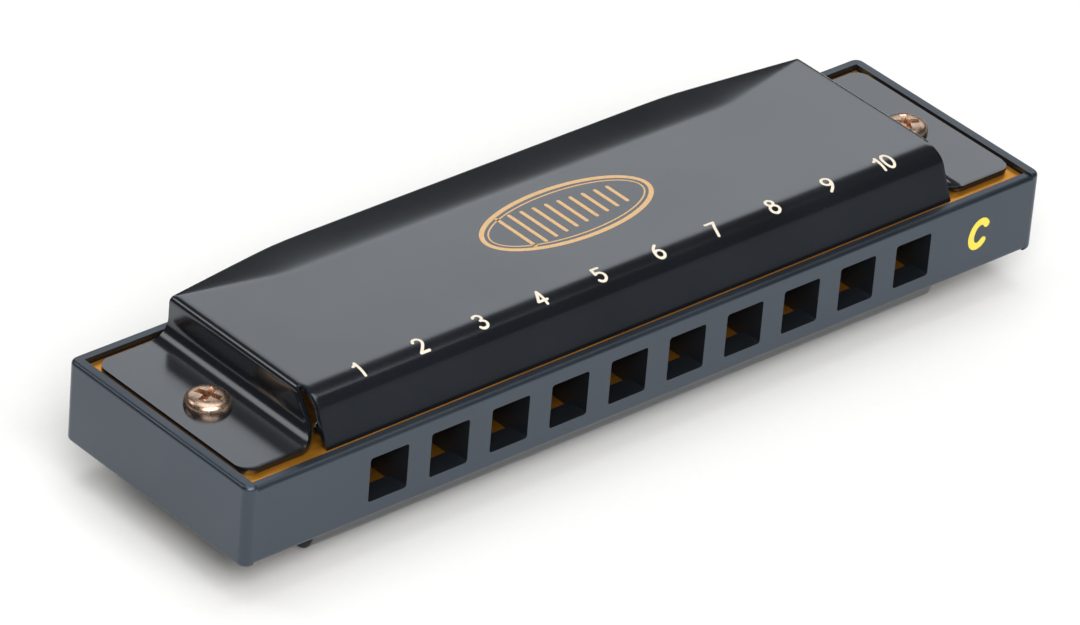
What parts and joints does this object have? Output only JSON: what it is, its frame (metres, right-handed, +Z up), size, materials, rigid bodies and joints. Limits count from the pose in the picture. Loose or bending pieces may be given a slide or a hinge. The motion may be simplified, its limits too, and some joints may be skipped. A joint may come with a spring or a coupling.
{
  "type": "harmonica",
  "caption": "Diatonic mouth harmonica: a moulded comb with mouth holes, brass reed plates with sprung reeds, and two folded black covers.",
  "frame": {"origin": "on the flat outer face of the lower cover, below the middle of the comb", "axes": "+X along the comb from the first mouth hole to the last, +Y from the mouth side to the open back, +Z up"},
  "size_m": [0.102, 0.0283, 0.0177],
  "materials": {
    "comb": "satin moulded black ABS",
    "cover": "semi-gloss black baked enamel on steel sheet",
    "reed_plate": "rolled brass strip",
    "reed": "ground spring brass",
    "rivet": "turned brass",
    "plate_screw": "bright zinc",
    "cover_screw": "bronze-coloured plating"
  },
  "bodies": {
    "casing": {"comb": "comb", "blow_reed_plate": "reed_plate", "draw_reed_plate": "reed_plate", "blow_reed_foot_1": "reed", "blow_reed_foot_2": "reed", "blow_reed_foot_3": "reed", "blow_reed_foot_4": "reed", "blow_reed_foot_5": "reed", "blow_reed_foot_6": "reed", "blow_reed_foot_7": "reed", "blow_reed_foot_8": "reed", "blow_reed_foot_9": "reed", "blow_reed_foot_10": "reed", "draw_reed_foot_1": "reed", "draw_reed_foot_2": "reed", "draw_reed_foot_3": "reed", "draw_reed_foot_4": "reed", "draw_reed_foot_5": "reed", "draw_reed_foot_6": "reed", "draw_reed_foot_7": "reed", "draw_reed_foot_8": "reed", "draw_reed_foot_9": "reed", "draw_reed_foot_10": "reed", "blow_reed_rivets": "rivet", "draw_reed_rivets": "rivet", "blow_plate_screws": "plate_screw", "draw_plate_screws": "plate_screw", "upper_cover": "cover", "lower_cover": "cover", "upper_cover_screw_left": "cover_screw", "upper_cover_screw_right": "cover_screw", "lower_cover_screw_left": "cover_screw", "lower_cover_screw_right": "cover_screw"},
    "blow_reed_1": {"blow_reed_1": "reed"},
    "blow_reed_2": {"blow_reed_2": "reed"},
    "blow_reed_3": {"blow_reed_3": "reed"},
    "blow_reed_4": {"blow_reed_4": "reed"},
    "blow_reed_5": {"blow_reed_5": "reed"},
    "blow_reed_6": {"blow_reed_6": "reed"},
    "blow_reed_7": {"blow_reed_7": "reed"},
    "blow_reed_8": {"blow_reed_8": "reed"},
    "blow_reed_9": {"blow_reed_9": "reed"},
    "blow_reed_10": {"blow_reed_10": "reed"},
    "draw_reed_1": {"draw_reed_1": "reed"},
    "draw_reed_2": {"draw_reed_2": "reed"},
    "draw_reed_3": {"draw_reed_3": "reed"},
    "draw_reed_4": {"draw_reed_4": "reed"},
    "draw_reed_5": {"draw_reed_5": "reed"},
    "draw_reed_6": {"draw_reed_6": "reed"},
    "draw_reed_7": {"draw_reed_7": "reed"},
    "draw_reed_8": {"draw_reed_8": "reed"},
    "draw_reed_9": {"draw_reed_9": "reed"},
    "draw_reed_10": {"draw_reed_10": "reed"}
  },
  "joints": [
    {"name": "blow_reed_1_swing", "type": "hinge", "parent": "casing", "child": "blow_reed_1", "pos_m": [-0.03375, 0.0086, 0.01172], "axis": [1, 0, 0], "range_deg": [-4, 4], "stiffness_Nm_per_rad": 0.02066},
    {"name": "blow_reed_2_swing", "type": "hinge", "parent": "casing", "child": "blow_reed_2", "pos_m": [-0.02625, 0.00782, 0.01172], "axis": [1, 0, 0], "range_deg": [-4, 4], "stiffness_Nm_per_rad": 0.0285},
    {"name": "blow_reed_3_swing", "type": "hinge", "parent": "casing", "child": "blow_reed_3", "pos_m": [-0.01875, 0.00704, 0.01172], "axis": [1, 0, 0], "range_deg": [-4, 4], "stiffness_Nm_per_rad": 0.03478},
    {"name": "blow_reed_4_swing", "type": "hinge", "parent": "casing", "child": "blow_reed_4", "pos_m": [-0.01125, 0.00627, 0.01172], "axis": [1, 0, 0], "range_deg": [-4, 4], "stiffness_Nm_per_rad": 0.05307},
    {"name": "blow_reed_5_swing", "type": "hinge", "parent": "casing", "child": "blow_reed_5", "pos_m": [-0.00375, 0.00549, 0.01172], "axis": [1, 0, 0], "range_deg": [-4, 4], "stiffness_Nm_per_rad": 0.07153},
    {"name": "blow_reed_6_swing", "type": "hinge", "parent": "casing", "child": "blow_reed_6", "pos_m": [0.00375, 0.00471, 0.01172], "axis": [1, 0, 0], "range_deg": [-4, 4], "stiffness_Nm_per_rad": 0.08509},
    {"name": "blow_reed_7_swing", "type": "hinge", "parent": "casing", "child": "blow_reed_7", "pos_m": [0.01125, 0.00393, 0.01172], "axis": [1, 0, 0], "range_deg": [-4, 4], "stiffness_Nm_per_rad": 0.12619},
    {"name": "blow_reed_8_swing", "type": "hinge", "parent": "casing", "child": "blow_reed_8", "pos_m": [0.01875, 0.00316, 0.01172], "axis": [1, 0, 0], "range_deg": [-4, 4], "stiffness_Nm_per_rad": 0.16474},
    {"name": "blow_reed_9_swing", "type": "hinge", "parent": "casing", "child": "blow_reed_9", "pos_m": [0.02625, 0.00238, 0.01172], "axis": [1, 0, 0], "range_deg": [-4, 4], "stiffness_Nm_per_rad": 0.18901},
    {"name": "blow_reed_10_swing", "type": "hinge", "parent": "casing", "child": "blow_reed_10", "pos_m": [0.03375, 0.0016, 0.01172], "axis": [1, 0, 0], "range_deg": [-4, 4], "stiffness_Nm_per_rad": 0.26896},
    {"name": "draw_reed_1_swing", "type": "hinge", "parent": "casing", "child": "draw_reed_1", "pos_m": [-0.03375, -0.0079, 0.00483], "axis": [1, 0, 0], "range_deg": [-4, 4], "stiffness_Nm_per_rad": 0.02604},
    {"name": "draw_reed_2_swing", "type": "hinge", "parent": "casing", "child": "draw_reed_2", "pos_m": [-0.02625, -0.0079, 0.00483], "axis": [1, 0, 0], "range_deg": [-4, 4], "stiffness_Nm_per_rad": 0.04031},
    {"name": "draw_reed_3_swing", "type": "hinge", "parent": "casing", "child": "draw_reed_3", "pos_m": [-0.01875, -0.0079, 0.00483], "axis": [1, 0, 0], "range_deg": [-4, 4], "stiffness_Nm_per_rad": 0.05521},
    {"name": "draw_reed_4_swing", "type": "hinge", "parent": "casing", "child": "draw_reed_4", "pos_m": [-0.01125, -0.0079, 0.00483], "axis": [1, 0, 0], "range_deg": [-4, 4], "stiffness_Nm_per_rad": 0.06686},
    {"name": "draw_reed_5_swing", "type": "hinge", "parent": "casing", "child": "draw_reed_5", "pos_m": [-0.00375, -0.0079, 0.00483], "axis": [1, 0, 0], "range_deg": [-4, 4], "stiffness_Nm_per_rad": 0.08029},
    {"name": "draw_reed_6_swing", "type": "hinge", "parent": "casing", "child": "draw_reed_6", "pos_m": [0.00375, -0.0079, 0.00483], "axis": [1, 0, 0], "range_deg": [-4, 4], "stiffness_Nm_per_rad": 0.10721},
    {"name": "draw_reed_7_swing", "type": "hinge", "parent": "casing", "child": "draw_reed_7", "pos_m": [0.01125, -0.0079, 0.00483], "axis": [1, 0, 0], "range_deg": [-4, 4], "stiffness_Nm_per_rad": 0.11243},
    {"name": "draw_reed_8_swing", "type": "hinge", "parent": "casing", "child": "draw_reed_8", "pos_m": [0.01875, -0.0079, 0.00483], "axis": [1, 0, 0], "range_deg": [-4, 4], "stiffness_Nm_per_rad": 0.13076},
    {"name": "draw_reed_9_swing", "type": "hinge", "parent": "casing", "child": "draw_reed_9", "pos_m": [0.02625, -0.0079, 0.00483], "axis": [1, 0, 0], "range_deg": [-4, 4], "stiffness_Nm_per_rad": 0.15002},
    {"name": "draw_reed_10_swing", "type": "hinge", "parent": "casing", "child": "draw_reed_10", "pos_m": [0.03375, -0.0079, 0.00483], "axis": [1, 0, 0], "range_deg": [-4, 4], "stiffness_Nm_per_rad": 0.19018}
  ]
}
